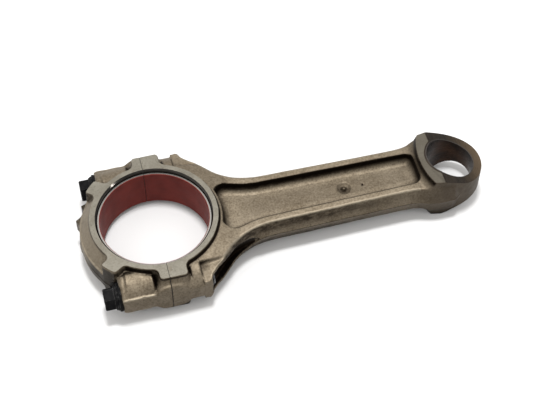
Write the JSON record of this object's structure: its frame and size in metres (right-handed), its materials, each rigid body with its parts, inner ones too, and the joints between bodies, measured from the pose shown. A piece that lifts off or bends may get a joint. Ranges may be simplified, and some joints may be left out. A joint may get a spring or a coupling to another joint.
{
  "type": "connecting rod",
  "caption": "Forged connecting rod of a heavy diesel engine: I-section shank, split big end with a bolted cap and bearing shells, and a tapered small end with a bush.",
  "frame": {"origin": "centre of the big-end bore at the middle of the rod's thickness", "axes": "+Z along the big-end bore axis, +X towards the small end, +Y towards the left bolt"},
  "size_m": [0.3743, 0.1466, 0.048],
  "materials": {
    "forged_steel": "satin",
    "shell_steel": "polished",
    "lining_polymer": "satin",
    "bush_steel": "satin",
    "bush_bronze": "satin",
    "black_steel": "satin"
  },
  "bodies": {
    "rod": {"rod_body": "forged_steel", "rod_shell_back": "shell_steel", "rod_shell_lining": "lining_polymer", "bush_back": "bush_steel", "bush_lining": "bush_bronze"},
    "cap": {"bearing_cap": "forged_steel", "cap_shell_back": "shell_steel", "cap_shell_lining": "lining_polymer"},
    "washer_left": {"washer_left": "black_steel"},
    "washer_right": {"washer_right": "black_steel"},
    "bolt_left": {"bolt_left": "black_steel"},
    "bolt_right": {"bolt_right": "black_steel"}
  },
  "joints": [
    {"name": "cap_pull_off", "type": "slide", "parent": "rod", "child": "cap", "axis": [-1, 0, 0], "range_m": [0, 0.06]},
    {"name": "left_bolt_out", "type": "slide", "parent": "cap", "child": "washer_left", "axis": [-1, 0, 0], "range_m": [0, 0.042]},
    {"name": "right_bolt_out", "type": "slide", "parent": "cap", "child": "washer_right", "axis": [-1, 0, 0], "range_m": [0, 0.042]},
    {"name": "left_bolt_turn", "type": "hinge", "parent": "washer_left", "child": "bolt_left", "pos_m": [-0.0462, 0.0606, 0], "axis": [-1, 0, 0], "range_deg": [0, 10080]},
    {"name": "right_bolt_turn", "type": "hinge", "parent": "washer_right", "child": "bolt_right", "pos_m": [-0.0462, -0.0606, 0], "axis": [-1, 0, 0], "range_deg": [0, 10080]}
  ],
  "couplings": [
    {"joint": "left_bolt_turn", "follows": "left_bolt_out", "rad_per_m": 4188.7},
    {"joint": "right_bolt_turn", "follows": "right_bolt_out", "rad_per_m": 4188.7}
  ]
}
